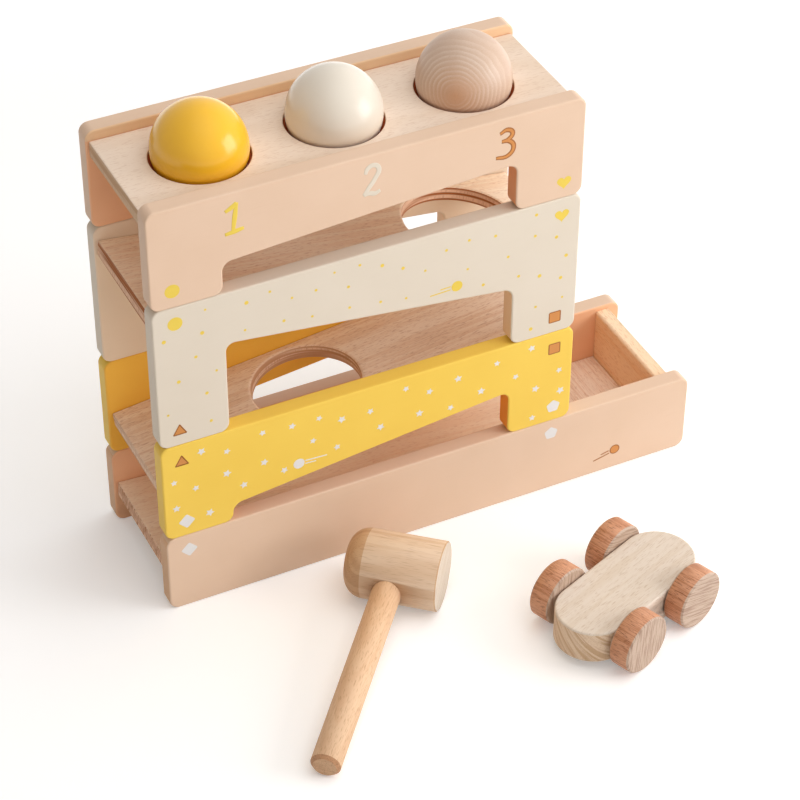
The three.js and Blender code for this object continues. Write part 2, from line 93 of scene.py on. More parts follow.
def matt_paint(name, colour, shade, roughness=0.5, gloss=0.3):
    """Sprayed paint on beech: an even film, faintly cloudy, with a trace of the grain's furrows. It is matt
    unless roughness and gloss make it satin."""
    cloud_size = 30 * MM
    cloud_share = 0.16
    furrow_size = (14 * MM, 0.6 * MM, 0.6 * MM)
    furrow_share = 0.12
    furrow_depth = 0.1 * MM
    material, tree = blank_material(name)
    place = add(tree, "TexCoord").outputs["Object"]
    cloud = add(tree, "TexNoise", inputs={"Vector": place, "Scale": 1 / cloud_size, "Detail": 2})
    along = add(tree, "Mapping", BY_SIZE, {"Vector": place, "Scale": furrow_size})
    furrow = add(tree, "TexNoise", inputs={"Vector": along, "Scale": 1, "Detail": 2})
    patch = add(tree, "MapRange", inputs={"Value": cloud, "From Min": 0.35, "From Max": 0.65})
    fleck = add(tree, "MapRange", inputs={"Value": furrow, "From Min": 0.55, "From Max": 0.8,
                                          "To Max": furrow_share})
    tone = add(tree, "Math", {"operation": "MULTIPLY_ADD"}, {0: patch, 1: cloud_share, 2: fleck})
    colour_mix = add(tree, "Mix", IN_COLOUR, {0: tone, 6: linear(colour), 7: linear(shade)})
    bump = add(tree, "Bump", inputs={"Height": furrow, "Strength": 0.06, "Distance": furrow_depth})
    film = add(tree, "BsdfPrincipled", inputs={"Base Color": colour_mix, "Roughness": roughness, "IOR": 1.5,
                                               "Specular IOR Level": gloss, "Normal": bump})
    add(tree, "OutputMaterial", inputs={"Surface": film})
    return material


def rectangle(low, high):
    """The outline of a board on edge, on its face towards the front."""
    return [(low.x, low.y, low.z), (high.x, low.y, low.z), (high.x, low.y, high.z), (low.x, low.y, high.z)]


def draw_out(bm, path):
    """Draws flat shapes out along path into closed solids."""
    drawn = bmesh.ops.extrude_face_region(bm, geom=bm.faces[:])
    moved = [part for part in drawn["geom"] if isinstance(part, bmesh.types.BMVert)]
    bmesh.ops.translate(bm, verts=moved, vec=path)
    bmesh.ops.recalc_face_normals(bm, faces=bm.faces[:])


def bevel(bm, geom, width, affect, segments):
    """Rounds corners or edges off by a true arc."""
    return bmesh.ops.bevel(bm, geom=geom, offset=width, offset_type="OFFSET", affect=affect,
                           segments=segments, profile=0.5, material=-1, clamp_overlap=True)


def slab(corners, corner_round, depth, arris):
    """A board from its outline: corners rounded, drawn out to its depth, and every arris rounded over. The
    narrow strips of the rounded corners are shaded smooth."""
    bm = bmesh.new()
    outline = [bm.verts.new(corner) for corner in corners]
    bm.faces.new(outline)
    bevel(bm, outline, corner_round, "VERTICES", 10)
    draw_out(bm, (0, depth, 0))
    strip_area = corner_round * depth / 3
    for face in bm.faces:
        face.smooth = len(face.verts) == 4 and face.calc_area() < strip_area
    round_over(bm, arris)
    return bm


def round_over(bm, width, near=None, segments=4, finish=None):
    """Rounds over the square arrises, all of them or those that near() picks. finish is the rounding's
    material index where it isn't its neighbour's."""
    square = [edge for edge in bm.edges if edge.is_manifold and edge.calc_face_angle() > SQUARE_ANGLE]
    arrises = [edge for edge in square if near is None or near(edge)]
    for face in bevel(bm, arrises, width, "EDGES", segments)["faces"]:
        face.smooth = segments > 1
        if finish is not None:
            face.material_index = finish


def stand(bm, name, materials):
    """Makes the mesh an object of the scene, in its place and with its materials."""
    mesh = bpy.data.meshes.new(name)
    bm.to_mesh(mesh)
    bm.free()
    for material in materials:
        mesh.materials.append(material)
    piece = bpy.data.objects.new(name, mesh)
    bpy.context.scene.collection.objects.link(piece)
    return piece


def cut_away(piece, tool):
    """Cuts a tool's shape out of a piece, as a drill does. The cut shows the piece's second material."""
    for face in tool.faces:
        face.material_index = 1
    cutter = stand(tool, "cutter", piece.data.materials[:])
    cut = piece.modifiers.new("cut", "BOOLEAN")
    cut.operation = "DIFFERENCE"
    cut.solver = "MANIFOLD"
    cut.object = cutter
    bpy.context.view_layer.update()
    shaped = piece.evaluated_get(bpy.context.evaluated_depsgraph_get())
    piece.data = bpy.data.meshes.new_from_object(shaped)
    piece.modifiers.clear()
    bpy.data.objects.remove(cutter)


def rod_drill(node):
    """A drill for every peg and dowel that is let into a node, a hair wider and deeper than they are."""
    low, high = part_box(node)
    drill = bmesh.new()
    for name, (rod_low, rod_high) in rod_boxes.items():
        if all(rod_low[i] < high[i] and rod_high[i] > low[i] for i in range(3)):
            size = rod_high - rod_low
            radius = min(size) / 2 + DRILL_CLEARANCE
            bmesh.ops.create_cone(drill, cap_ends=True, cap_tris=False, segments=32, radius1=radius,
                                  radius2=radius, depth=max(size) + 2 * DRILL_CLEARANCE,
                                  matrix=Matrix.Translation((rod_low + rod_high) / 2)
                                  @ (Matrix.Identity(4) if "_peg_" in name else Z_TO_FRONT))
    return drill


def settle(bm, name, materials, body, slot, *nodes, tools=()):
    """Makes the mesh a piece that rides on a body and stands for the nodes it is built from. It is bored for
    the rods let into them, and the tools' shapes are cut out of it."""
    piece = stand(bm, name, materials)
    for tool in [rod_drill(node) for node in nodes] + list(tools):
        if tool.faces:
            cut_away(piece, tool)
    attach(piece, body)
    if nodes:
        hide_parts(*nodes)


def split_inner_and_edge_faces(bm, inward, picked):
    """Gives the inner face the piece's third material, and the edges of the board that picked() chooses its
    fourth. inward is 1 where the inner face looks to +Y, -1 where it looks to -Y, and 0 where it has none."""
    for face in bm.faces:
        if face.normal.y * inward > 0.5:
            face.material_index = 2
        elif abs(face.normal.y) < 0.5 and picked(face.calc_center_median()):
            face.material_index = 3


INWARD = {"front": 1, "back": -1}
peach_paint = matt_paint("matt_peach_paint_on_beech", "#e4c5ab", "#d5b393")
# The inside and end copies of the peach are painted shade: warmer and deeper than the paint itself.
peach_inside_painted_shade = matt_paint("peach_paint_with_painted_shade_inside", "#f2bb92", "#e4a77c")
peach_end_painted_shade = matt_paint("peach_paint_with_painted_shade_at_the_ends", "#deb48d", "#cfa27c")
bare_bore = matt_paint("bare_beech_in_a_bored_hole", "#d8b78f", "#b98f66", 0.7)
for side in ("front", "back"):
    low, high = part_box(f"base_{side}_side")
    board = slab(rectangle(low, high), CORNER_ROUND, high.y - low.y, ARRIS_ROUND)
    split_inner_and_edge_faces(board, INWARD[side], lambda spot: not low.x + ARRIS_ROUND < spot.x < high.x - ARRIS_ROUND)
    settle(board, f"base_{side}_board", [peach_paint, bare_bore, peach_inside_painted_shade, peach_end_painted_shade], "base",
           "peach_paint", f"base_{side}_side")

# Base ramp, tray floor and tray end
# Clear-finished beech boards glued between the base sides. The ramp's grain runs down the slope, the tray
# floor's runs across, and the end board stands with its upper edge a little below the sides.
BOARD_THICKNESS = 8 * MM
BOARD_ARRIS = 0.7 * MM
BASE_RAMP_DROP = 12.8 * MM
LAYER_TILT = 1.2
TRAY_LAYER_TILT = 1.4
END_BOARD_ROUND = 1.6 * MM
END_BOARD_ARRIS = 0.1 * MM
TOUCH = 0.01 * MM
FULL_ROUND = 96
EASED = {"interpolation_type": "SMOOTHSTEP"}


def clear_wood(name, pale, dark, pore, turn=(0, 0, 0), ring=2.2, fleck=(3.2, 0.45), rings=0.5, flecks=0.5,
               spread=9):
    """Clear-finished wood: growth layers seen as streaks, and short dark pores along the grain.
    turn lays the grain along X of the pattern; ring is the layers' width, fleck a pore's length and width,
    all in millimetres, and spread is how many widths a layer runs across the grain. rings and flecks say how
    much of each shows. Real pores are finer, and are drawn as coarse as they need to show."""
    widths_along = 45
    layer_size = (ring * widths_along * MM, ring * spread * MM, ring * MM)
    pore_size = (fleck[0] * MM, fleck[1] * MM, fleck[1] * MM)
    pore_depth = 0.15 * MM
    material, tree = blank_material(name)
    place = add(tree, "TexCoord").outputs["Object"]
    layer_place = add(tree, "Mapping", BY_SIZE, {"Vector": place, "Rotation": turn, "Scale": layer_size})
    layer = add(tree, "TexNoise", inputs={"Vector": layer_place, "Scale": 1, "Detail": 3})
    late = add(tree, "MapRange", EASED, {"Value": layer, "From Min": 0.44, "From Max": 0.62, "To Max": rings})
    pore_place = add(tree, "Mapping", BY_SIZE, {"Vector": place, "Rotation": turn, "Scale": pore_size})
    grain = add(tree, "TexNoise", inputs={"Vector": pore_place, "Scale": 1, "Detail": 1})
    mark = add(tree, "MapRange", EASED,
               {"Value": grain, "From Min": 0.54, "From Max": 0.72, "To Max": flecks})
    body = add(tree, "Mix", IN_COLOUR, {0: late, 6: linear(pale), 7: linear(dark)})
    surface = add(tree, "Mix", IN_COLOUR, {0: mark, 6: body, 7: linear(pore)})
    bump = add(tree, "Bump", {"invert": True}, {"Height": mark, "Strength": 0.25, "Distance": pore_depth})
    finish = add(tree, "BsdfPrincipled", inputs={"Base Color": surface, "Roughness": 0.55, "IOR": 1.5,
                                                 "Specular IOR Level": 0.35, "Normal": bump})
    add(tree, "OutputMaterial", inputs={"Surface": finish})
    return material


def lane_board(node, rise, holes=(), rim=0.0):
    """A board between the sides, laid at its slope where its node lies. holes are (distance from the middle
    along the board, radius), each rim rounded over by rim. Hole walls and ends show the second material. A
    narrow border inside the edges and round the holes leaves the roundings room."""
    low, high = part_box(node)
    width = high.y - low.y
    length = (high.x - low.x - BOARD_THICKNESS * math.sin(abs(rise))) / math.cos(rise)
    border = 1.1 * BOARD_ARRIS
    rim_border = 1.2 * rim
    bm = bmesh.new()
    frames = [(length / 2 - inset, width / 2 - inset) for inset in (0, border)]
    loops = []
    for half_x, half_y in frames:
        ring = [bm.verts.new((x * half_x, y * half_y, 0)) for x, y in ((-1, -1), (1, -1), (1, 1), (-1, 1))]
        loops.append([bm.edges.new((ring[i], ring[(i + 1) % 4])) for i in range(4)])
    bmesh.ops.bridge_loops(bm, edges=loops[0] + loops[1])
    inner_edges = loops[1]
    for along, radius in holes:
        circles = []
        for reach in (radius, radius + rim_border):
            made = bmesh.ops.create_circle(bm, cap_ends=False, segments=FULL_ROUND, radius=reach,
                                           matrix=Matrix.Translation((along, 0, 0)))
            circles.append(list({edge for vert in made["verts"] for edge in vert.link_edges}))
        bmesh.ops.bridge_loops(bm, edges=circles[0] + circles[1])
        inner_edges = inner_edges + circles[1]
    if holes:
        bmesh.ops.triangle_fill(bm, use_beauty=True, use_dissolve=False, edges=inner_edges)
    else:
        bmesh.ops.contextual_create(bm, geom=inner_edges)
    draw_out(bm, (0, 0, -BOARD_THICKNESS))

    def on_wall(vert):
        offs = [math.hypot(vert.co.x - along, vert.co.y) - radius for along, radius in holes]
        return any(abs(off) < TOUCH for off in offs)

    def on_hole(part):
        return all(on_wall(vert) for vert in part.verts)

    def on_end(part):
        return all(abs(vert.co.x) > length / 2 - TOUCH for vert in part.verts)

    for face in bm.faces:
        if on_hole(face):
            face.smooth = True
            face.material_index = 1
    if holes:
        round_over(bm, rim, on_hole)
    for face in bm.faces:
        if on_end(face):
            face.material_index = 1
    round_over(bm, BOARD_ARRIS, on_end)
    bmesh.ops.translate(bm, verts=bm.verts[:], vec=(0, 0, BOARD_THICKNESS / 2))
    bmesh.ops.rotate(bm, verts=bm.verts[:], cent=(0, 0, 0), matrix=Matrix.Rotation(-rise, 3, "Y"))
    bmesh.ops.translate(bm, verts=bm.verts[:], vec=(low + high) / 2)
    return bm


def sawn_end(name, pale, dark, turn=(0, 0, 0), layer=1.5, layers=1.0, strokes=0.35):
    """The sawn end of a board: its layers edge on, pale and dark in turn, with the saw's strokes across them.
    layer is a layer's thickness in millimetres; layers and strokes say how much of each shows."""
    layer_size = (70 * MM, 70 * MM, layer * MM)
    stroke_size = (0.7 * MM, 0.7 * MM, 4 * MM)
    stroke_depth = 0.15 * MM
    material, tree = blank_material(name)
    place = add(tree, "TexCoord").outputs["Object"]
    across = add(tree, "Mapping", BY_SIZE, {"Vector": place, "Rotation": turn, "Scale": layer_size})
    sheets = add(tree, "TexNoise", inputs={"Vector": across, "Scale": 0.7, "Detail": 2})
    edge = add(tree, "MapRange", EASED,
               {"Value": sheets, "From Min": 0.42, "From Max": 0.6, "To Max": layers})
    cut = add(tree, "Mapping", BY_SIZE, {"Vector": place, "Rotation": turn, "Scale": stroke_size})
    saw = add(tree, "TexNoise", inputs={"Vector": cut, "Scale": 1, "Detail": 1})
    score = add(tree, "MapRange", inputs={"Value": saw, "From Min": 0.42, "From Max": 0.7, "To Max": strokes})
    tone = add(tree, "Math", {"operation": "MAXIMUM"}, {0: edge, 1: score})
    colour = add(tree, "Mix", IN_COLOUR, {0: tone, 6: linear(pale), 7: linear(dark)})
    bump = add(tree, "Bump", {"invert": True}, {"Height": tone, "Strength": 0.3, "Distance": stroke_depth})
    finish = add(tree, "BsdfPrincipled", inputs={"Base Color": colour, "Roughness": 0.85,
                                                 "Specular IOR Level": 0.1, "Normal": bump})
    add(tree, "OutputMaterial", inputs={"Surface": finish})
    return material


STEAMED_BEECH = {"pale": "#f6dfca", "dark": "#e6c3a6", "pore": "#c09070"}
# A paler copy of the beech for the base and upper ramps, deep in the tower: painted light, for the light that
# reaches into the lanes. The base ramp also shows fewer rings and pores, which pales it further.
BEECH_PALED_AS_PAINTED_LIGHT = {"pale": "#fde8ce", "dark": "#efcba8", "pore": "#c89774"}
SAWN_BEECH = {"pale": "#f2cdb0", "dark": "#aa6840"}
low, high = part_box("base_ramp")
base_rise = -math.atan(BASE_RAMP_DROP / (high.x - low.x))
base_ramp_beech = clear_wood("clear_finished_beech_base_ramp", turn=(LAYER_TILT, -base_rise, 0),
                             rings=0.3, flecks=0.35, **BEECH_PALED_AS_PAINTED_LIGHT)
base_sawn = sawn_end("sawn_beech_end_base", turn=(0, -base_rise, 0), layers=0.35, strokes=0.9,
                     **SAWN_BEECH)
settle(lane_board("base_ramp", base_rise), "base_ramp_board", [base_ramp_beech, base_sawn], "base",
       "board_wood", "base_ramp")

tray_beech = clear_wood("clear_finished_beech_tray", turn=(TRAY_LAYER_TILT, 0, math.pi / 2), ring=1.1,
                        rings=0.7, spread=6, **STEAMED_BEECH)
settle(lane_board("tray_floor", 0), "tray_floor_board", [tray_beech, tray_beech], "base", "board_wood",
       "tray_floor")

low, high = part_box("tray_end_board")
end_board = slab(rectangle(low, high), END_BOARD_ROUND, high.y - low.y, END_BOARD_ARRIS)
split_inner_and_edge_faces(end_board, 0, lambda spot: spot.x > high.x - END_BOARD_ROUND)
end_pattern = {"turn": (0, 0, math.pi / 2), "ring": 2.4, "rings": 0.6, "flecks": 0.5}
# The inner face and upper edge take a redder, paler beech than the outer end: painted light, for the warm
# light bounced about inside the tray.
end_beech_painted_bounce_light = clear_wood("beech_tray_end_with_painted_bounce_light", pale="#fddcb8", dark="#f3c593", pore="#d09860",
                       **end_pattern)
outer_beech = clear_wood("clear_finished_beech_tray_end", pale="#e6c8a6", dark="#d6b088", pore="#b48a5e",
                         **end_pattern)
settle(end_board, "tray_end_plank", [end_beech_painted_bounce_light, bare_bore, end_beech_painted_bounce_light, outer_beech], "base", "board_wood",
       "tray_end_board")

# Lower tier sides
# Two boards with a leg at each end and a sloping cutout between, in matt butter-yellow paint. The cutout's
# upper edge follows the ramp that the boards carry.
LEG_WIDTH = 35 * MM
LEG_CORNER_ROUND = 4.75 * MM
RAMP_RISE = math.radians(6.6)
LOWER_CUTOUT = 18.2 * MM


def cutout_top(low, high, cutout_height, rise, x):
    """How high the cutout of a side between low and high reaches at x. cutout_height is over the feet at
    mid-length."""
    return low.z + cutout_height + (x - (low.x + high.x) / 2) * math.tan(rise)


def legged_side(tier, side, cutout_height, rise):
    """A side with a leg at each end and a cutout between them. Its inner face and the cutout's edges are
    split off for the copies of the paint that carry painted shade.
    """
    low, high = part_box(f"{tier}_{side}_side")
    left, right = low.x + LEG_WIDTH, high.x - LEG_WIDTH
    tops = [cutout_top(low, high, cutout_height, rise, x) for x in (left, right)]
    cutout = [(left, low.y, low.z), (left, low.y, tops[0]), (right, low.y, tops[1]), (right, low.y, low.z)]
    corners = rectangle(low, high)
    outline = corners[:1] + cutout + corners[1:]
    board = slab(outline, LEG_CORNER_ROUND, high.y - low.y, ARRIS_ROUND)

    def in_cutout(spot):
        below = spot.z < cutout_top(low, high, cutout_height, rise, spot.x) + MM
        return below and left - MM < spot.x < right + MM

    split_inner_and_edge_faces(board, INWARD[side], in_cutout)
    return board


yellow_paint = matt_paint("matt_butter_yellow_paint_on_beech", "#f3cd57", "#e7ba43")
# The inside and cutout copies of the yellow are painted shade: a deeper orange for the warm shade inside the
# tower.
yellow_inside_painted_shade = matt_paint("yellow_paint_with_painted_shade_inside", "#f9c04c", "#eeae3c")
yellow_cutout_painted_shade = matt_paint("yellow_paint_with_painted_shade_in_the_cutout", "#f79e35", "#e88c28")
for side in ("front", "back"):
    board = legged_side("lower", side, LOWER_CUTOUT, RAMP_RISE)
    settle(board, f"lower_{side}_board", [yellow_paint, bare_bore, yellow_inside_painted_shade, yellow_cutout_painted_shade],
           "lower_tier", "yellow_paint", f"lower_{side}_side")

# Lower ramp
# A beech ply board that climbs to the right, with a round drop hole left of its middle. The hole's wall
# shows the edges of the plies.
DROP_RADIUS = 27 * MM
DROP_RIM = 1.6 * MM
LOWER_DROP = -17 * MM
lower_beech = clear_wood("clear_finished_beech_lower_ramp", turn=(LAYER_TILT, -RAMP_RISE, 0), rings=0.7,
                         flecks=0.6, **STEAMED_BEECH)
lower_ply = sawn_end("beech_ply_edge_lower", pale="#f3d9c0", dark="#bd8862", turn=(0, -RAMP_RISE, 0),
                     layers=0.8, strokes=0.7)
drop_at = LOWER_DROP / math.cos(RAMP_RISE)
board = lane_board("lower_ramp", RAMP_RISE, [(drop_at, DROP_RADIUS)], DROP_RIM)
settle(board, "lower_ramp_board", [lower_beech, lower_ply], "lower_tier", "board_wood", "lower_ramp")

# Upper tier sides and ramp
# Taller cream boards on the same pattern, with a ramp that climbs to the left and lets a ball fall at its
# low end.
UPPER_CUTOUT = 42 * MM
UPPER_DROP = 64.5 * MM
cream_paint = matt_paint("matt_cream_paint_on_beech", "#dfd3c2", "#d4c6b1")
# The inside and cutout copies of the cream are painted shade: warmer, for the warm shade inside the tower.
cream_inside_painted_shade = matt_paint("cream_paint_with_painted_shade_inside", "#eed8be", "#e1c8ab")
cream_cutout_painted_shade = matt_paint("cream_paint_with_painted_shade_in_the_cutout", "#f0cda7", "#e0b88e")
for side in ("front", "back"):
    board = legged_side("upper", side, UPPER_CUTOUT, -RAMP_RISE)
    settle(board, f"upper_{side}_board", [cream_paint, bare_bore, cream_inside_painted_shade, cream_cutout_painted_shade], "upper_tier",
           "cream_paint", f"upper_{side}_side")

upper_beech = clear_wood("clear_finished_beech_upper_ramp", turn=(LAYER_TILT, RAMP_RISE, 0), **BEECH_PALED_AS_PAINTED_LIGHT)
upper_ply = sawn_end("beech_ply_edge_upper", turn=(0, RAMP_RISE, 0), **SAWN_BEECH)
drop_at = UPPER_DROP / math.cos(RAMP_RISE)
board = lane_board("upper_ramp", -RAMP_RISE, [(drop_at, DROP_RADIUS)], DROP_RIM)
settle(board, "upper_ramp_board", [upper_beech, upper_ply], "upper_tier", "board_wood", "upper_ramp")

# Top tier sides and ball deck
# Peach boards again, with a flat beech deck let in a little below their upper edge. Their cutout edges and
# the inner faces above the deck take warmer copies of the peach: painted shade. The deck's three holes are
# bored a hair wider than the balls, and a round groove in each wall seats a rubber ring.
TOP_CUTOUT = 21.3 * MM
TOP_CUTOUT_RISE = math.radians(3.75)
BALL_SPACING = 66 * MM
DECK_HOLE_RADIUS = 23.3 * MM
DECK_RIM = 0.6 * MM
CORD_RADIUS = 2 * MM
CORD_SWELL = 0.13 * MM
MERGE = 0.001 * MM
RING_SPOTS = ("left", "middle", "right")
deck_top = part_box("ball_deck")[1].z
peach_cutout_painted_shade = matt_paint("peach_paint_with_painted_shade_in_the_cutout", "#e9a16e", "#d88e5c")
peach_rail_painted_shade = matt_paint("peach_paint_with_painted_shade_above_the_deck", "#eec79f", "#dfb489")
top_finish = [peach_paint, bare_bore, peach_inside_painted_shade, peach_cutout_painted_shade, peach_rail_painted_shade]
for side in ("front", "back"):
    board = legged_side("top", side, TOP_CUTOUT, TOP_CUTOUT_RISE)
    bmesh.ops.bisect_plane(board, geom=board.verts[:] + board.edges[:] + board.faces[:], dist=MERGE,
                           plane_co=(0, 0, deck_top), plane_no=(0, 0, 1))
    for face in board.faces:
        if face.material_index == 2 and face.calc_center_median().z > deck_top:
            face.material_index = 4
    settle(board, f"top_{side}_board", top_finish, "top_tier", "peach_paint", f"top_{side}_side")

deck_beech = clear_wood("clear_finished_beech_deck", pale="#efdac6", dark="#e2c8ae", pore="#c49c7c",
                        flecks=0.35)
deck_holes = [(spot * BALL_SPACING, DECK_HOLE_RADIUS) for spot in (-1, 0, 1)]
board = lane_board("ball_deck", 0, deck_holes, DECK_RIM)
deck_sawn = sawn_end("sawn_beech_end_deck", pale="#e0c4a6", dark="#bd906a", layer=2.2, layers=0.6)


def middle_of(node):
    """The middle of a node's box."""
    low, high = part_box(node)
    return (low + high) / 2


def cord_ring(node, cord_radius):
    """A ring of round cord where its node lies, at the deck's hole wall."""
    centre = middle_of(node)
    bm = bmesh.new()
    section = Matrix.Translation(centre + Vector((DECK_HOLE_RADIUS, 0, 0)))
    bmesh.ops.create_circle(bm, cap_ends=False, segments=16, radius=cord_radius,
                            matrix=section @ Z_TO_FRONT)
    bmesh.ops.spin(bm, geom=bm.verts[:] + bm.edges[:], cent=centre, axis=(0, 0, 1), angle=2 * math.pi,
                   steps=FULL_ROUND, use_merge=True)
    bmesh.ops.remove_doubles(bm, verts=bm.verts[:], dist=MERGE)
    bmesh.ops.recalc_face_normals(bm, faces=bm.faces[:])
    for face in bm.faces:
        face.smooth = True
    return bm


groove_radius = CORD_RADIUS + CORD_SWELL + DRILL_CLEARANCE
grooves = [cord_ring(f"ball_ring_{spot}", groove_radius) for spot in RING_SPOTS]
settle(board, "ball_deck_board", [deck_beech, deck_sawn], "top_tier", "board_wood", "ball_deck",
       tools=grooves)

# Ball rings
# Moulded rubber cords seated in a groove half-way down each hole. They hold a ball up until it is pounded,
# and its weight swells them a hair, so that no light passes between.
BLOOM = 2 * MM
# Moulded rubber: dull, with a faint cloudy bloom.
ring_rubber, tree = blank_material("moulded_brown_rubber")
place = add(tree, "TexCoord").outputs["Object"]
bloom = add(tree, "TexNoise", inputs={"Vector": place, "Scale": 1 / BLOOM, "Detail": 2})
tint = add(tree, "Mix", IN_COLOUR, {0: bloom, 6: linear("#984524"), 7: linear("#ac5632")})
rubber = add(tree, "BsdfPrincipled", inputs={"Base Color": tint, "Roughness": 0.9, "IOR": 1.52,
                                             "Specular IOR Level": 0.1})
add(tree, "OutputMaterial", inputs={"Surface": rubber})

for spot in RING_SPOTS:
    ring = cord_ring(f"ball_ring_{spot}", CORD_RADIUS + CORD_SWELL)
    settle(ring, f"rubber_ring_{spot}", [ring_rubber], "top_tier", "ring_rubber", f"ball_ring_{spot}")

# Balls
# Turned beech balls: one sprayed yellow, one sprayed off-white, both with a soft satin, and one left bare,
# so that its growth rings show as arcs.
BALL_RADIUS = 22.5 * MM
GROWTH_AXIS = Vector((-0.53, -0.805, 0.251))
GROWTH_RING = 1.85 * MM
PORE = 0.4 * MM
ball_yellow = matt_paint("satin_yellow_paint_on_beech", "#f4bc2c", "#eaac22", 0.21, 0.42)
ball_white = matt_paint("satin_off_white_paint_on_beech", "#e7ddce", "#dfd3c1", 0.25, 0.4)

# Bare turned beech: pale rings round the pith, counted in years from it. They are faint in the warm heart and
# towards the rim, clear between, and some years less marked than others. Fine dark pores speckle it all.
bare_beech, tree = blank_material("bare_turned_beech_ball")
place = add(tree, "TexCoord").outputs["Object"]
pith = add(tree, "Mapping", BY_SIZE,
           {"Vector": place, "Location": middle_of("natural_ball"), "Scale": (GROWTH_RING, GROWTH_RING, 1),
            "Rotation": GROWTH_AXIS.to_track_quat("Z", "Y").to_euler()})
drift = add(tree, "TexNoise", inputs={"Vector": pith, "Scale": 0.14, "Detail": 1})
wander = add(tree, "VectorMath", {"operation": "MULTIPLY_ADD"},
             {0: drift.outputs["Color"], 1: (1.5, 1.5, 0), 2: pith})
flat = add(tree, "VectorMath", {"operation": "MULTIPLY"}, {0: wander, 1: (1, 1, 0)})
years = add(tree, "VectorMath", {"operation": "LENGTH"}, {0: flat})
season = add(tree, "Math", {"operation": "FRACT"}, {0: years})
heart_fade = add(tree, "MapRange", EASED, {"Value": years, "From Min": 1.5, "From Max": 5, "To Max": 0.42})
rim_fade = add(tree, "MapRange", EASED,
               {"Value": years, "From Min": 8, "From Max": 13, "To Min": 1, "To Max": 0.5})
good_years = add(tree, "MapRange", inputs={"Value": drift, "From Min": 0.38, "From Max": 0.6, "To Min": 0.4})
ripe = add(tree, "Math", {"operation": "MULTIPLY"}, {0: heart_fade, 1: rim_fade})
shown = add(tree, "Math", {"operation": "MULTIPLY"}, {0: ripe, 1: good_years})
early = add(tree, "MapRange", EASED, {"Value": season, "From Min": 0.3, "From Max": 1, "To Max": shown})
grain = add(tree, "TexNoise", inputs={"Vector": place, "Scale": 1 / PORE, "Detail": 1})
speck = add(tree, "MapRange", EASED, {"Value": grain, "From Min": 0.5, "From Max": 0.75, "To Max": 0.35})
age = add(tree, "MapRange", inputs={"Value": years, "From Min": -1, "From Max": 9})
heartwood = add(tree, "Mix", IN_COLOUR, {0: age, 6: linear("#d2a17c"), 7: linear("#cdb09a")})
body = add(tree, "Mix", IN_COLOUR, {0: early, 6: heartwood, 7: linear("#eadbcb")})
surface = add(tree, "Mix", IN_COLOUR, {0: speck, 6: body, 7: linear("#b98e70")})
bare = add(tree, "BsdfPrincipled", inputs={"Base Color": surface, "Roughness": 0.45, "IOR": 1.5})
add(tree, "OutputMaterial", inputs={"Surface": bare})

ball_finish = {"yellow": (ball_yellow, "ball_yellow_paint"), "white": (ball_white, "ball_white_paint"),
               "natural": (bare_beech, "natural_wood")}
for colour, (finish, slot) in ball_finish.items():
    bm = bmesh.new()
    bmesh.ops.create_uvsphere(bm, u_segments=FULL_ROUND, v_segments=FULL_ROUND // 2,
                              radius=BALL_RADIUS, matrix=Matrix.Translation(middle_of(f"{colour}_ball")))
    for face in bm.faces:
        face.smooth = True
    settle(bm, f"{colour}_turned_ball", [finish], f"ball_{colour}", slot, f"{colour}_ball")

# Prints on the front
# Matching marks that show which tier goes on which, large digits under the balls, rolling balls, and a
# scatter of dots and stars: thin opaque inks, screen-printed on the painted front sides alone.
INK_FILM = 0.06 * MM
INK_BITE = 0.04 * MM
MARK_RADIUS = 3.6 * MM
MARK_CORNER = 0.8 * MM
MARK_BORDER = 0.6 * MM
MARK_ROOM = 9 * MM
ROLLING_RADIUS = 2.9 * MM
ROLLING_ROOM = 11 * MM
STREAK_START = 3.3 * MM
STREAK_WIDTH = 0.6 * MM
STREAK_OFFSET = 0.9 * MM
SHORT_STREAK = 0.5
DOTS = 52
DOT_SPACING = 11.5 * MM
DOT_RADII = (0.55 * MM, 1.05 * MM)
STARS = 32
STAR_SPACING = 12.5 * MM
STAR_RADII = (1.7 * MM, 2.4 * MM)
STAR_PINCH = 0.5
PRINT_MARGIN = 5 * MM
TRIES = 4000
SEED = 11


def spot_on(node, x, z):
    """A point on a side's front face: millimetres from its left end and over its feet."""
    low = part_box(node)[0]
    return low + Vector((x, 0, z)) * MM + Vector((0, INK_BITE, 0))


def stamp(bm, spot, sides, radius, turn=0.0, pinch=1.0, corner=0.0):
    """Adds a flat printed shape: a regular polygon, or a star where pinch draws every second corner in."""
    made = bmesh.ops.create_circle(bm, cap_ends=True, segments=sides, radius=radius,
                                   matrix=Matrix.Translation(spot) @ Z_TO_FRONT
                                   @ Matrix.Rotation(math.radians(turn), 4, "Z"))
    if pinch < 1:
        for vert in made["verts"][1::2]:
            vert.co = spot + (vert.co - spot) * pinch
    if corner:
        bevel(bm, made["verts"], corner, "VERTICES", 4)


def heart(bm, spot, radius):
    """Adds a printed heart, by the usual sine formula."""
    steps = [2 * math.pi * i / 40 for i in range(40)]
    across = [16 * math.sin(t) ** 3 for t in steps]
    up = [13 * math.cos(t) - 5 * math.cos(2 * t) - 2 * math.cos(3 * t) - math.cos(4 * t) for t in steps]
    bm.faces.new([bm.verts.new(spot + Vector((x, 0, z)) * radius / 16) for x, z in zip(across, up)])


def streak(bm, start, finish, width):
    """Adds a printed bar from start to finish."""
    line = finish - start
    place = Matrix.Translation((start + finish) / 2) @ Z_TO_FRONT
    place @= Matrix.Rotation(math.atan2(line.z, line.x), 4, "Z")
    bmesh.ops.create_grid(bm, x_segments=1, y_segments=1, size=0.5,
                          matrix=place @ Matrix.Diagonal((line.length, width, 1, 1)))


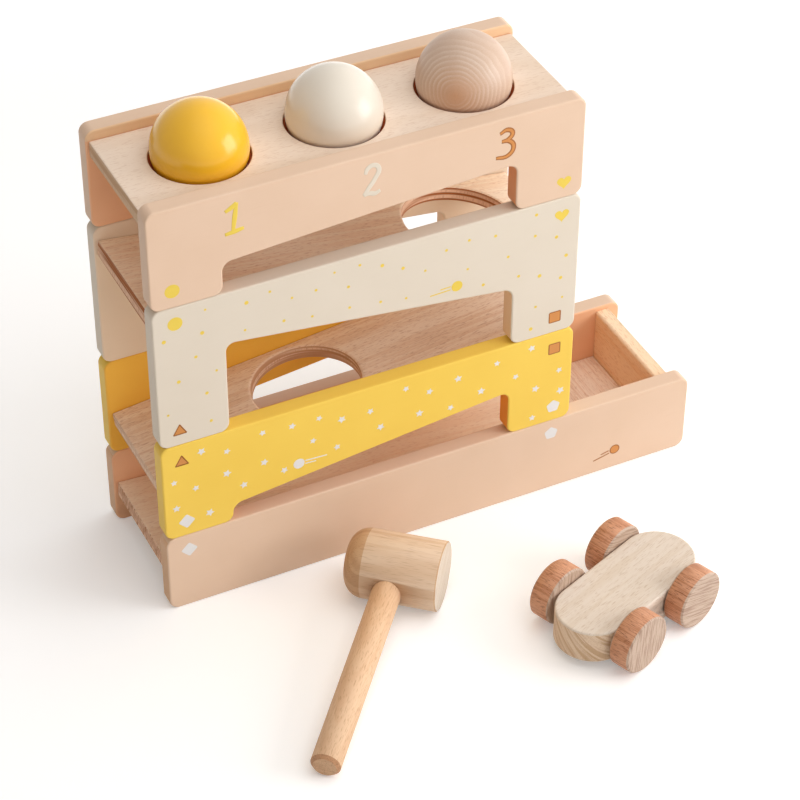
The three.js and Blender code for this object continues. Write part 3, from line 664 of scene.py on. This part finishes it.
def press(bm, name, inks, body, slot, border=0.0):
    """Presses flat shapes on to their side: a closed film that stands a hair proud. A border takes the
    second ink, and so do plain bars."""
    if border:
        bars = [face for face in bm.faces if len(face.verts) == 4]
        marks = [face for face in bm.faces if len(face.verts) > 4]
        edged = bmesh.ops.inset_individual(bm, faces=marks, thickness=border, use_even_offset=True)
        for face in bars + edged["faces"]:
            face.material_index = 1
    draw_out(bm, (0, -INK_BITE - INK_FILM, 0))
    settle(bm, name, inks, body, slot)


def rolling_ball(bm, node, ball, tail):
    """Adds a rolling ball with a long and a short streak behind it. The long one ends at tail."""
    centre, end = spot_on(node, *ball), spot_on(node, *tail)
    stamp(bm, centre, 32, ROLLING_RADIUS)
    path = end - centre
    across = Vector((-path.z, 0, path.x)).normalized() * STREAK_OFFSET
    start = centre + path.normalized() * STREAK_START
    streak(bm, start + across, end + across, STREAK_WIDTH)
    streak(bm, start - across, start.lerp(end, SHORT_STREAK) - across, STREAK_WIDTH)


yellow_ink = matt_paint("screen_printed_yellow_ink", "#eacc53", "#e1be41")
white_ink = matt_paint("screen_printed_white_ink", "#e4e1e0", "#dad7d5")
cream_ink = matt_paint("screen_printed_cream_ink", "#e0d4c3", "#d6c8b4")
tan_ink = matt_paint("screen_printed_tan_ink", "#d28d4c", "#c77f3f")
brown_ink = matt_paint("screen_printed_brown_ink", "#a5662f", "#985a26")

# Each side's left and right mark, in millimetres from its left end and over its feet.
yellow_marks = {"top": ((10.7, 9.3), (207.1, 8.9)), "upper": ((11.1, 70.1), (206.9, 69.2))}
tan_marks = {"upper": ((10.3, 8.5), (205.8, 9.5)), "lower": ((10.3, 45.8), (206.5, 45.9))}
white_marks = {"lower": ((11, 8.9), (207.4, 9.1)), "base": ((11.4, 35.4), (207, 36.3))}
body_of = {"base": "base", "lower": "lower_tier", "upper": "upper_tier", "top": "top_tier"}


def scatter(node, cutout_height, rise, marks, ball, count, spacing, draw):
    """Draws spots on a side that keep their spacing, and keep off its edges, marks and rolling ball."""
    low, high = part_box(node)
    inset = PRINT_MARGIN
    taken = [(spot_on(node, *mark), MARK_ROOM) for mark in marks] + [(spot_on(node, *ball), ROLLING_ROOM)]
    spots = []
    for _ in range(TRIES):
        x = draw.uniform(low.x + inset, high.x - inset)
        z = draw.uniform(low.z + inset, high.z - inset)
        over_legs = x < low.x + LEG_WIDTH - inset or x > high.x - LEG_WIDTH + inset
        on_board = over_legs or z > cutout_top(low, high, cutout_height, rise, x) + inset
        spot = Vector((x, low.y + INK_BITE, z))
        clear = all((spot - other).length > gap for other, gap in taken)
        clear = clear and all((spot - other).length > spacing for other in spots)
        if on_board and clear and len(spots) < count:
            spots.append(spot)
    return spots


draw = random.Random(SEED)
for tier, marks in yellow_marks.items():
    node = f"{tier}_front_side"
    bm = bmesh.new()
    left, right = [spot_on(node, *mark) for mark in marks]
    stamp(bm, left, 32, MARK_RADIUS)
    heart(bm, right, MARK_RADIUS * 1.05)
    if tier == "upper":
        rolling_ball(bm, node, (152.1, 45.4), (138, 44.8))
        marks += tan_marks["upper"]
        for spot in scatter(node, UPPER_CUTOUT, -RAMP_RISE, marks, (147, 45.4), DOTS, DOT_SPACING, draw):
            stamp(bm, spot, 16, draw.uniform(*DOT_RADII))
    press(bm, f"{tier}_yellow_print", [yellow_ink], body_of[tier], "yellow_paint")

for tier, marks in tan_marks.items():
    bm = bmesh.new()
    left, right = [spot_on(f"{tier}_front_side", *mark) for mark in marks]
    stamp(bm, left, 3, MARK_RADIUS * 1.2, corner=MARK_CORNER)
    stamp(bm, right, 4, MARK_RADIUS * 1.3, turn=45, corner=MARK_CORNER)
    press(bm, f"{tier}_tan_print", [tan_ink, brown_ink], body_of[tier], "board_wood", MARK_BORDER)

for tier, marks in white_marks.items():
    node = f"{tier}_front_side"
    bm = bmesh.new()
    left, right = [spot_on(node, *mark) for mark in marks]
    stamp(bm, left, 4, MARK_RADIUS * 1.2, corner=MARK_CORNER)
    stamp(bm, right, 5, MARK_RADIUS * 1.1, corner=MARK_CORNER)
    if tier == "lower":
        rolling_ball(bm, node, (69.3, 22.9), (83.9, 22.2))
        marks += tan_marks["lower"]
        for spot in scatter(node, LOWER_CUTOUT, RAMP_RISE, marks, (75, 22.9), STARS, STAR_SPACING, draw):
            stamp(bm, spot, 10, draw.uniform(*STAR_RADII), turn=draw.uniform(0, 72), pinch=STAR_PINCH)
    press(bm, f"{tier}_white_print", [white_ink], body_of[tier], "cream_paint")

bm = bmesh.new()
rolling_ball(bm, "base_front_side", (245.1, 11.8), (232.7, 9))
press(bm, "base_tan_print", [tan_ink, brown_ink], "base", "board_wood", MARK_BORDER)

BRUSH = 2.3 * MM
BRUSH_LIFT = 0.7
DIGIT_SCALE = 0.83
DIGIT_HEIGHT_OVER_FEET = 39.2


def brushed(strokes, spot, width, film):
    """A digit drawn with a round brush: smooth strokes that thin at their ends, pressed flat."""
    curve = bpy.data.curves.new("stroke", "CURVE")
    curve.dimensions = "3D"
    curve.bevel_depth = width / 2
    curve.bevel_resolution = 3
    curve.use_fill_caps = True
    for points in strokes:
        line = curve.splines.new("BEZIER")
        line.bezier_points.add(len(points) - 1)
        line.resolution_u = 8
        for knot, (x, z) in zip(line.bezier_points, points):
            knot.co = Vector((x, 0, z)) * DIGIT_SCALE * MM
            knot.handle_left_type = "AUTO"
            knot.handle_right_type = "AUTO"
        line.bezier_points[0].radius = BRUSH_LIFT
        line.bezier_points[-1].radius = BRUSH_LIFT
    stroke = bpy.data.objects.new("stroke", curve)
    bpy.context.scene.collection.objects.link(stroke)
    bpy.context.view_layer.update()
    drawn = bpy.data.meshes.new_from_object(stroke.evaluated_get(bpy.context.evaluated_depsgraph_get()))
    bm = bmesh.new()
    bm.from_mesh(drawn)
    bpy.data.objects.remove(stroke)
    bmesh.ops.remove_doubles(bm, verts=bm.verts[:], dist=MERGE)
    bmesh.ops.scale(bm, verts=bm.verts[:], vec=(1, 2 * film / width, 1))
    bmesh.ops.recalc_face_normals(bm, faces=bm.faces[:])
    bmesh.ops.translate(bm, verts=bm.verts[:], vec=spot - Vector((0, INK_BITE, 0)))
    return bm


# The knots of each stroke, across and up from the digit's middle, before they are scaled.
one = [[(-5, 5.2), (-1.2, 7.2), (1.7, 9.6)], [(1.7, 9.6), (0.4, 1), (-0.9, -8.4)],
       [(-5.6, -9.2), (0, -8.5), (5.4, -7.6)]]
two = [[(-3.8, 5), (-2.4, 8.4), (1.6, 9.6), (4.2, 6.4), (2, 1), (-1.6, -4), (-4.9, -8.4)],
       [(-4.9, -8.4), (-1.2, -7.9), (1.6, -8.8), (5, -7.6)]]
three = [[(-3.1, 7.4), (1.6, 9), (4.7, 6.2), (2.4, 2.8), (-1.8, 2.1)],
         [(-1.8, 2.1), (3.2, 1.2), (5.6, -3.4), (2.3, -8), (-5.2, -7.9)]]
# Name, strokes, place along the side, width of the brush, height of the film, ink and slot.
digits = [("one", one, 41.5, 1.15 * BRUSH, INK_FILM, yellow_ink, "yellow_paint"),
          ("two", two, 108.2, 1.1 * BRUSH, INK_FILM, cream_ink, "cream_paint"),
          ("three_edge", three, 175, 1.2 * BRUSH, 0.6 * INK_FILM, brown_ink, "board_wood"),
          ("three", three, 175, 0.7 * BRUSH, INK_FILM, tan_ink, "board_wood")]
for name, strokes, x, width, film, ink, slot in digits:
    digit = brushed(strokes, spot_on("top_front_side", x, DIGIT_HEIGHT_OVER_FEET), width, film)
    settle(digit, f"digit_{name}_print", [ink], "top_tier", slot)

# Pegs, dowels and axles
# Bare ramin dowel, cut to length and chamfered. The pegs locate one tier on the next, the dowels are glued
# in, and the axles turn in the car's body.
dowel_wood = clear_wood("bare_ramin_dowel", pale="#e2c8a2", dark="#cda97c", pore="#a67c50",
                        turn=(0, math.pi / 2, 0))
for name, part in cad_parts.items():
    if "_peg_" in name or "_dowel_" in name or name.endswith("_axle"):
        part.data.materials.clear()
        part.data.materials.append(dowel_wood)

# Mallet
# A turned beech head, well rounded at one end and flat at the other, with a dowel handle glued in a blind
# hole. It lies on its head and on the end of its handle.
HEAD_RADIUS = 17.3 * MM
HEAD_LENGTH = 47.5 * MM
HEAD_ROUND_END = 10 * MM
HEAD_FLAT_EASE = 0.5 * MM
HANDLE_RADIUS = 7.2 * MM
HANDLE_LENGTH = 132 * MM
HANDLE_SEAT = 24 * MM
HANDLE_CHAMFER = 1.6 * MM
MALLET_FROM_CORNER = Vector((102.5, -37, 0)) * MM
MALLET_TURN = math.radians(-40.7)
tower_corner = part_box("base_front_side")[0]
seat = HEAD_RADIUS - HANDLE_SEAT
reach = seat + HANDLE_LENGTH - HANDLE_CHAMFER
mallet_tilt = math.asin(HEAD_RADIUS / math.hypot(reach, HANDLE_RADIUS)) - math.atan2(HANDLE_RADIUS, reach)
mallet_place = Matrix.Translation(tower_corner + MALLET_FROM_CORNER + Vector((0, 0, HEAD_RADIUS)))
mallet_place @= Matrix.Rotation(MALLET_TURN, 4, "Z") @ Matrix.Rotation(mallet_tilt, 4, "X")


def turned_rod(place, radius, length, low_end, high_end):
    """A turned rod along Z of its place, from its middle. low_end and high_end are (rounding, segments, the
    rounding's material index, the end face's material index)."""
    bm = bmesh.new()
    bmesh.ops.create_cone(bm, cap_ends=True, cap_tris=False, segments=FULL_ROUND, radius1=radius,
                          radius2=radius, depth=length)
    for face in bm.faces:
        face.smooth = len(face.verts) == 4
    for sign, (rounding, segments, rim, cap) in ((-1, low_end), (1, high_end)):
        def on_end(part):
            return all(sign * vert.co.z > length / 2 - TOUCH for vert in part.verts)

        for face in bm.faces:
            if on_end(face):
                face.material_index = cap
        round_over(bm, rounding, on_end, segments, rim)
    bmesh.ops.transform(bm, matrix=place, verts=bm.verts[:])
    return bm


head_turn = Matrix.Rotation(math.pi / 2, 4, "Y")
head_pattern = {"turn": (math.radians(35), 0, MALLET_TURN), "ring": 2.4, "fleck": (7, 0.4), "rings": 0.6,
                "flecks": 0.35}
# The second wood, on the rounded end and round the flat face, is darker as end grain, and also as painted
# shade on the rounded end, which faces away from the light.
head_woods = [clear_wood(*finish, **head_pattern) for finish in (
    ("turned_beech_mallet_head", "#e0c4a8", "#cda884", "#a17756"),
    ("turned_beech_head_end_grain_with_painted_shade", "#cda680", "#b98d66", "#8f6444"),
    ("sanded_beech_head_face", "#dccdbc", "#d0bba3", "#b0906f"))]
head = turned_rod(mallet_place @ head_turn, HEAD_RADIUS, HEAD_LENGTH, (HEAD_ROUND_END, 12, 1, 1),
                  (HEAD_FLAT_EASE, 1, 1, 2))
handle_place = mallet_place @ Matrix.Translation((0, -seat - HANDLE_LENGTH / 2, 0)) @ Z_TO_FRONT
cut_end = (HANDLE_CHAMFER, 1, 2, 1)
handle_shape = (handle_place, HANDLE_RADIUS, HANDLE_LENGTH, cut_end, cut_end)
settle(head, "mallet_turned_head", head_woods, "mallet", "mallet_wood", "mallet_head",
       tools=[turned_rod(*handle_shape)])

handle_pattern = {"turn": (0, 0, MALLET_TURN + math.pi / 2), "ring": 0.9, "fleck": (5, 0.42), "rings": 0.4}
# The chamfered rims are drawn darker than the end.
handle_woods = [clear_wood(*finish, flecks=flecks, **handle_pattern) for flecks, finish in (
    (0.5, ("turned_beech_mallet_handle", "#e4be99", "#d6a880", "#b27d55")),
    (0.6, ("sawn_beech_handle_end", "#d3ab86", "#bb8c66", "#8e6345")),
    (0.6, ("darker_beech_handle_rim", "#c0906a", "#a8754f", "#7d5337")))]
settle(turned_rod(*handle_shape), "mallet_dowel_handle", handle_woods, "mallet", "mallet_wood",
       "mallet_handle")

# Car body
# A pine slab with half-round ends and softened edges, bored across for two axles. The round ends show their
# darker end grain.
CAR_TURN = math.radians(21.5)
CAR_LENGTH = 85.5 * MM
CAR_WIDTH = 36.6 * MM
CAR_ARRIS = 0.9 * MM
AXLE_BORE = 3.08 * MM
low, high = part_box("car_body")
car_place = Matrix.Translation((low + high) / 2) @ Matrix.Rotation(CAR_TURN, 4, "Z")
bm = bmesh.new()
corners = [bm.verts.new((x * CAR_LENGTH / 2, y * CAR_WIDTH / 2, (low.z - high.z) / 2))
           for x, y in ((-1, -1), (1, -1), (1, 1), (-1, 1))]
bm.faces.new(corners)
bevel(bm, corners, CAR_WIDTH / 2, "VERTICES", 24)
bmesh.ops.remove_doubles(bm, verts=bm.verts[:], dist=TOUCH)
draw_out(bm, (0, 0, high.z - low.z))
straight = (CAR_LENGTH - CAR_WIDTH) / 2
for face in bm.faces:
    face.smooth = len(face.verts) == 4
    if face.smooth and abs(face.calc_center_median().x) > straight:
        face.material_index = 1
round_over(bm, CAR_ARRIS, finish=0)
bmesh.ops.transform(bm, matrix=car_place, verts=bm.verts[:])
axle_drill = bmesh.new()
for end in ("front", "rear"):
    axle_place = Matrix.Translation(middle_of(f"car_{end}_axle")) @ Matrix.Rotation(CAR_TURN, 4, "Z")
    bmesh.ops.create_cone(axle_drill, cap_ends=True, cap_tris=False, segments=48, radius1=AXLE_BORE,
                          radius2=AXLE_BORE, depth=2 * CAR_WIDTH, matrix=axle_place @ Z_TO_FRONT)
car_pattern = {"turn": (math.radians(50), 0, CAR_TURN), "fleck": (4, 0.4), "flecks": 0.5, "spread": 20}
car_flat = clear_wood("clear_finished_pine_car", pale="#e0d1c1", dark="#d6c2ac", pore="#b99a7c",
                      ring=1.8, **car_pattern)
car_round = clear_wood("sanded_pine_end_grain_car", pale="#e5ccb0", dark="#c39d75", pore="#b18863",
                       ring=1.1, rings=0.8, **car_pattern)
settle(bm, "car_slab_body", [car_flat, car_round], "car", "natural_wood", "car_body", tools=[axle_drill])

# Car wheels
# Discs turned from reddish hardwood with the grain along the axle, eased at both rims and pressed on the
# axles. The sawn faces are paler and show the growth layers as lines.
WHEEL_RADIUS = 15 * MM
WHEEL_WIDTH = 11.3 * MM
WHEEL_CHAMFER = 0.8 * MM
LAYER_TURN = {"front": 95, "rear": 22}
for end in ("front", "rear"):
    for side in ("left", "right"):
        node = f"car_{end}_{side}_wheel"
        grain = {"turn": (math.radians(LAYER_TURN[end]), 0, CAR_TURN + math.pi / 2), "ring": 0.6,
                 "fleck": (3, 0.38), "spread": 24}
        tread = clear_wood(f"turned_hardwood_{end}_{side}_tread", pale="#d49b78", dark="#b2744f",
                           pore="#7f4a2e", rings=0.7, flecks=0.7, **grain)
        sawn = clear_wood(f"sawn_hardwood_{end}_{side}_face", pale="#c4ab97", dark="#9c7c68",
                          pore="#8b6750", rings=0.8, flecks=0.3, **grain)
        hub = Matrix.Translation(middle_of(node)) @ Matrix.Rotation(CAR_TURN, 4, "Z")
        rim = (WHEEL_CHAMFER, 1, 1, 1)
        wheel = turned_rod(hub @ Z_TO_FRONT, WHEEL_RADIUS, WHEEL_WIDTH, rim, rim)
        settle(wheel, f"car_{end}_{side}_disc", [tread, sawn], f"car_{end}_wheels", "wheel_wood", node)

# Floor
# A sweep of white paper under the toy. A touch of glow that lights nothing else takes it to white, and the
# shadows stay. Further out the glow grows, so that the sweep runs into the white room without an edge.
FLOOR_HALF = 6.0
FLOOR_GAP = 0.02 * MM
FLOOR_LIFT = 0.22
SHADOW_REACH = 0.45
SWEEP_REACH = 1.2
bm = bmesh.new()
bmesh.ops.create_grid(bm, x_segments=1, y_segments=1, size=FLOOR_HALF,
                      matrix=Matrix.Translation((0, 0, -FLOOR_GAP)))
white_sweep, tree = blank_material("white_paper_sweep")


def seen_directly(tree):
    """One where the camera sees a thing straight, in a gloss or through glass, nought in diffuse light."""
    rays = add(tree, "LightPath")
    gloss = add(tree, "Math", {"operation": "MAXIMUM"},
                {0: rays.outputs["Is Camera Ray"], 1: rays.outputs["Is Glossy Ray"]})
    return add(tree, "Math", {"operation": "MAXIMUM"},
               {0: gloss, 1: rays.outputs["Is Transmission Ray"]})


seen = seen_directly(tree)
reach = add(tree, "VectorMath", {"operation": "LENGTH"}, {0: add(tree, "TexCoord").outputs["Object"]})
fade = add(tree, "MapRange", EASED, {"Value": reach, "From Min": SHADOW_REACH, "From Max": SWEEP_REACH,
                                     "To Min": FLOOR_LIFT, "To Max": 1})
lift = add(tree, "Math", {"operation": "MULTIPLY"}, {0: seen, 1: fade})
paper = add(tree, "BsdfDiffuse", inputs={"Color": linear("#f7f6f5")})
glow = add(tree, "Emission", inputs={"Strength": lift})
both = add(tree, "AddShader", inputs={0: paper, 1: glow})
add(tree, "OutputMaterial", inputs={"Surface": both})
floor = stand(bm, "floor", [white_sweep])

# Light
# A white room, brighter at the right and dim and warm at the left, gives most of the light. Of four soft
# boxes a low one at the right front gives the faint shadows to the left, one hangs over the toy, and wide
# ones fill in from the front and the right back. Only the low one shows in a gloss, as the balls' highlight.
LEFT_LEVEL = 0.23
RIGHT_LEVEL = 0.63
world = bpy.data.worlds.new("white_studio")
bpy.context.scene.world = world
world.use_nodes = True
tree = world.node_tree
tree.nodes.clear()
outward = add(tree, "SeparateXYZ", inputs={0: add(tree, "TexCoord").outputs["Generated"]})
level = add(tree, "MapRange", inputs={"Value": outward.outputs["X"], "From Min": -1, "To Min": LEFT_LEVEL,
                                      "To Max": RIGHT_LEVEL})
tint = add(tree, "MapRange", inputs={"Value": outward.outputs["X"], "From Min": -1, "From Max": -0.15})
walls = add(tree, "Mix", IN_COLOUR, {0: tint, 6: linear("#f2cda2"), 7: linear("#ffffff")})
seen = seen_directly(tree)
colour = add(tree, "Mix", IN_COLOUR, {0: seen, 6: walls, 7: linear("#ffffff")})
strength = add(tree, "MapRange", inputs={"Value": seen, "To Min": level})
room = add(tree, "Background", inputs={"Color": colour, "Strength": strength})
add(tree, "OutputWorld", inputs={"Surface": room})

aim = Vector((-0.03, 0.04, 0.1))
# The way to each soft box from the toy, its distance and side in metres, and its watts.
soft_boxes = {"key": ((0.8, -0.55, 0.3), 1.5, 0.8, 11.5), "overhead": ((0.2, -0.15, 1), 1.5, 1.4, 8.9),
              "fill": ((-0.15, -0.8, 0.6), 1.8, 1.6, 4.6), "back": ((0.85, 0.5, 0.25), 1.8, 1.8, 10)}
for name, (direction, distance, size, watts) in soft_boxes.items():
    lamp = bpy.data.lights.new(f"{name}_soft_box", "AREA")
    lamp.shape = "SQUARE"
    lamp.size = size
    lamp.energy = watts
    box = bpy.data.objects.new(f"{name}_soft_box", lamp)
    bpy.context.scene.collection.objects.link(box)
    box.visible_glossy = name == "key"
    box.location = aim + Vector(direction).normalized() * distance
    box.rotation_euler = Vector(direction).to_track_quat("Z", "Y").to_euler()

# Camera
# A long lens, high at the front left. It is placed from the tower's left front foot and held almost level.
CAMERA_FROM_CORNER = Vector((-314.6, -888.8, 895.5)) * MM
CAMERA_AZIMUTH = math.radians(-26.197)
CAMERA_ELEVATION = math.radians(39.203)
CAMERA_ROLL = math.radians(0.287)
LENS = 120.33
camera_data = bpy.data.cameras.new("camera")
camera_data.sensor_width = 36
camera_data.lens = LENS
camera_data.clip_end = 20
camera = bpy.data.objects.new("camera", camera_data)
bpy.context.scene.collection.objects.link(camera)
aim_turn = Matrix.Rotation(CAMERA_AZIMUTH, 4, "Z") @ Matrix.Rotation(math.pi / 2 - CAMERA_ELEVATION, 4, "X")
camera.matrix_world = (Matrix.Translation(tower_corner + CAMERA_FROM_CORNER) @ aim_turn
                       @ Matrix.Rotation(CAMERA_ROLL, 4, "Z"))
bpy.context.scene.camera = camera
bpy.context.scene.view_settings.view_transform = "Standard"
